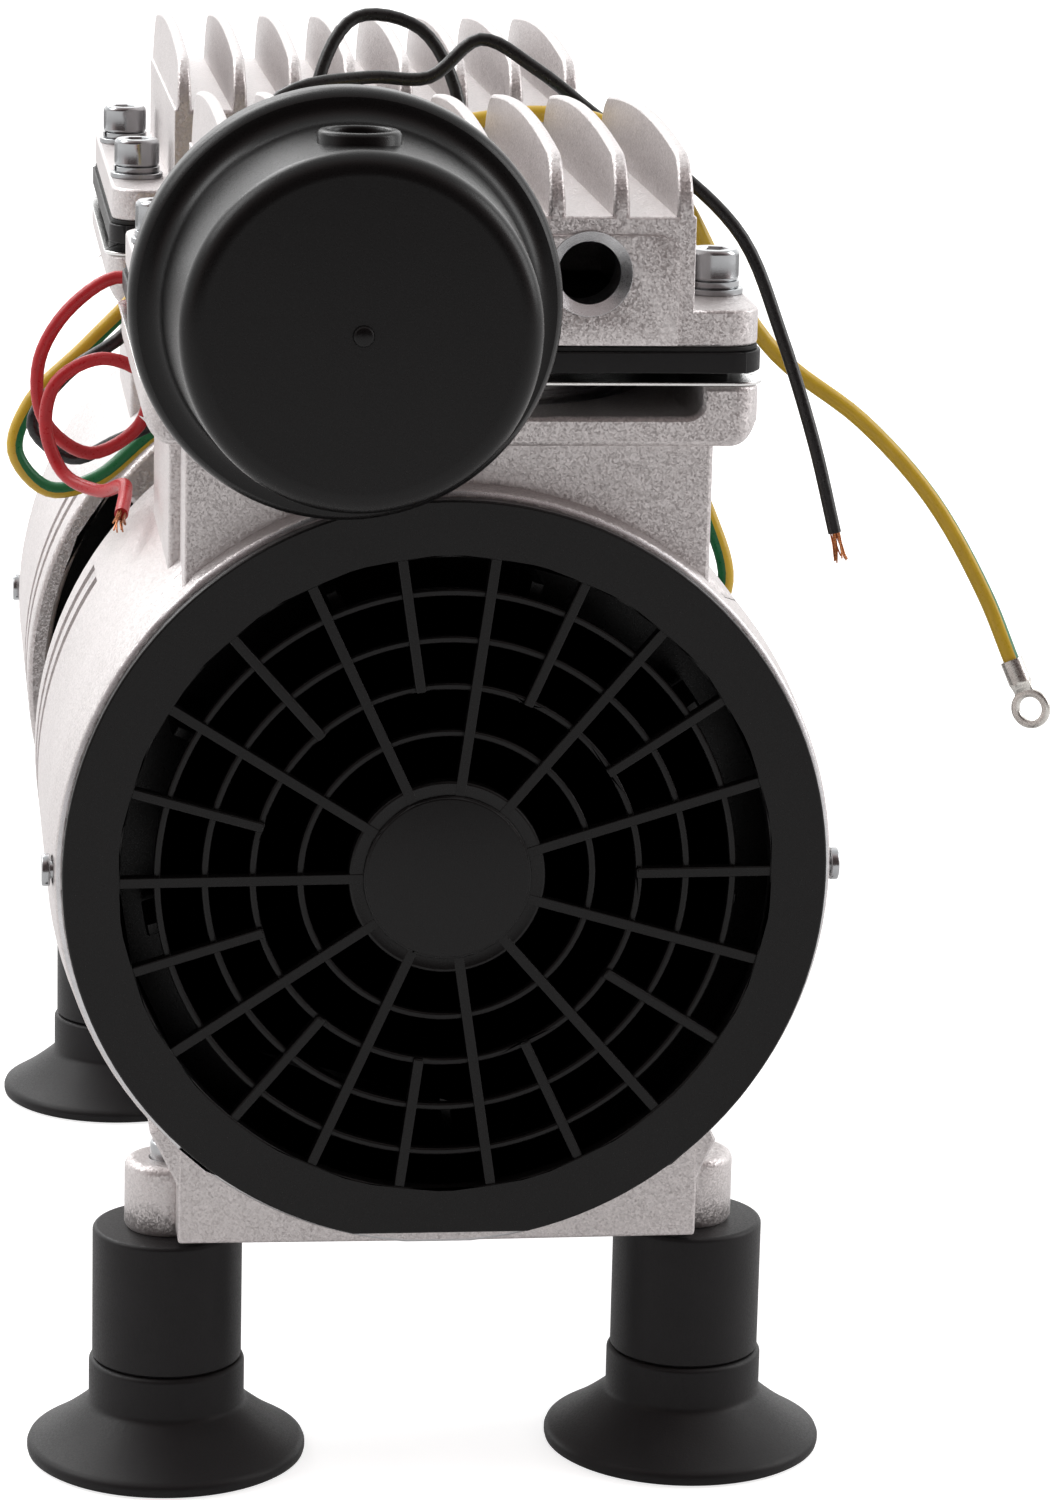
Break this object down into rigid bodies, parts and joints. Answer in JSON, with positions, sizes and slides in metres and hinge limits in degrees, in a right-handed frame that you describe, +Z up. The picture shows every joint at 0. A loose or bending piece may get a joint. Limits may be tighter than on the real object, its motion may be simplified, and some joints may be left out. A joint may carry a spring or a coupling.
{
  "type": "oil-free vacuum pump",
  "caption": "Oil-free piston vacuum pump: central motor, two finned heads, grille fan covers, an inlet silencer, loose wire leads and suction-cup feet.",
  "frame": {"origin": "on the surface that the pump stands on, under the middle of its base and midway between its two cylinders; the middle of its box there lies further forward because of the silencer, which sits on the front head only", "axes": "+Z up, +Y along the shaft towards the rear, so the silencer and the open port point to -Y, and +X to the right seen from the front"},
  "size_m": [0.1905, 0.3099, 0.238],
  "materials": {
    "cast_aluminium": "blasted die casting",
    "machined_aluminium": "machined",
    "zinc_steel": "zinc plated",
    "polished_steel": "ground",
    "lamination_steel": "varnished sheets",
    "copper_wire": "enamelled copper",
    "bright_sheet": "bright sheet",
    "spring_steel": "rolled strip",
    "black_plate": "matt black coating",
    "black_gasket": "matt",
    "black_plastic": "moulded, fine grain",
    "foot_rubber": "moulded",
    "seal_plastic": "filled seal plastic",
    "foam": "open foam",
    "yellow_insulation": "extruded",
    "black_insulation": "extruded",
    "red_insulation": "extruded",
    "tin_plate": "tin plated copper"
  },
  "bodies": {
    "housing": {"front_housing": "cast_aluminium", "rear_housing": "cast_aluminium", "stator_core": "lamination_steel", "front_winding": "copper_wire", "rear_winding": "copper_wire", "stator_bolts": "zinc_steel", "main_bearings": "polished_steel", "front_fan_cover": "black_plastic", "rear_fan_cover": "black_plastic", "fan_cover_screws": "zinc_steel", "front_cylinder": "machined_aluminium", "rear_cylinder": "machined_aluminium", "seal_rings": "black_gasket", "deflector_sheets": "bright_sheet", "front_valve_plate": "black_plate", "rear_valve_plate": "black_plate", "head_gaskets": "black_gasket", "front_head": "cast_aluminium", "rear_head": "cast_aluminium", "head_screws": "zinc_steel", "head_washers": "zinc_steel", "manifold_tubes": "polished_steel", "silencer_nipple": "zinc_steel", "silencer_body": "black_plastic", "silencer_lid": "black_plastic", "silencer_foam": "foam", "foot_buffers": "foot_rubber", "foot_studs": "zinc_steel", "front_left_cup": "foot_rubber", "front_right_cup": "foot_rubber", "rear_left_cup": "foot_rubber", "rear_right_cup": "foot_rubber", "earth_lead": "yellow_insulation", "black_lead": "black_insulation", "red_lead": "red_insulation", "arch_lead": "black_insulation", "ring_terminal": "tin_plate", "bare_strands": "copper_wire"},
    "rotor": {"shaft": "polished_steel", "rotor_core": "lamination_steel", "front_fan": "black_plastic", "rear_fan": "black_plastic", "front_eccentric": "polished_steel", "rear_eccentric": "polished_steel", "bearing_inner_rings": "polished_steel", "eccentric_set_screws": "zinc_steel"},
    "front_cage": {"front_rod_rollers": "polished_steel"},
    "rear_cage": {"rear_rod_rollers": "polished_steel"},
    "front_piston": {"front_rod": "machined_aluminium", "front_rod_ring": "polished_steel", "front_piston_seal": "seal_plastic", "front_piston_clamp": "machined_aluminium"},
    "rear_piston": {"rear_rod": "machined_aluminium", "rear_rod_ring": "polished_steel", "rear_piston_seal": "seal_plastic", "rear_piston_clamp": "machined_aluminium"},
    "front_intake_flap": {"front_intake_reed": "spring_steel"},
    "front_exhaust_flap": {"front_exhaust_reed": "spring_steel"},
    "rear_intake_flap": {"rear_intake_reed": "spring_steel"},
    "rear_exhaust_flap": {"rear_exhaust_reed": "spring_steel"}
  },
  "joints": [
    {"name": "shaft_spin", "type": "hinge", "parent": "housing", "child": "rotor", "pos_m": [0, 0, 0.1053], "axis": [0, 1, 0], "continuous": true},
    {"name": "front_cage_roll", "type": "hinge", "parent": "rotor", "child": "front_cage", "pos_m": [0, -0.072, 0.1083], "axis": [0, 1, 0], "continuous": true},
    {"name": "front_rod_swing", "type": "hinge", "parent": "front_cage", "child": "front_piston", "pos_m": [0, -0.072, 0.1113], "axis": [0, 1, 0], "continuous": true},
    {"name": "rear_cage_roll", "type": "hinge", "parent": "rotor", "child": "rear_cage", "pos_m": [0, 0.072, 0.1023], "axis": [0, 1, 0], "continuous": true},
    {"name": "rear_rod_swing", "type": "hinge", "parent": "rear_cage", "child": "rear_piston", "pos_m": [0, 0.072, 0.0993], "axis": [0, 1, 0], "continuous": true},
    {"name": "front_intake_flap_hinge", "type": "hinge", "parent": "housing", "child": "front_intake_flap", "pos_m": [0.014, -0.062, 0.1888], "axis": [1, 0, 0], "range_deg": [0, 4], "stiffness_Nm_per_rad": 0.005, "springref_deg": -5.73},
    {"name": "front_exhaust_flap_hinge", "type": "hinge", "parent": "housing", "child": "front_exhaust_flap", "pos_m": [-0.014, -0.062, 0.1922], "axis": [-1, 0, 0], "range_deg": [0, 6], "stiffness_Nm_per_rad": 0.005, "springref_deg": -5.73},
    {"name": "rear_intake_flap_hinge", "type": "hinge", "parent": "housing", "child": "rear_intake_flap", "pos_m": [0.014, 0.062, 0.1888], "axis": [-1, 0, 0], "range_deg": [0, 4], "stiffness_Nm_per_rad": 0.005, "springref_deg": -5.73},
    {"name": "rear_exhaust_flap_hinge", "type": "hinge", "parent": "housing", "child": "rear_exhaust_flap", "pos_m": [-0.014, 0.062, 0.1922], "axis": [1, 0, 0], "range_deg": [0, 6], "stiffness_Nm_per_rad": 0.005, "springref_deg": -5.73}
  ],
  "couplings": [
    {"joint": "front_cage_roll", "follows": "shaft_spin", "ratio": -2},
    {"joint": "front_rod_swing", "follows": "shaft_spin", "ratio": 1},
    {"joint": "rear_cage_roll", "follows": "shaft_spin", "ratio": -2},
    {"joint": "rear_rod_swing", "follows": "shaft_spin", "ratio": 1}
  ]
}
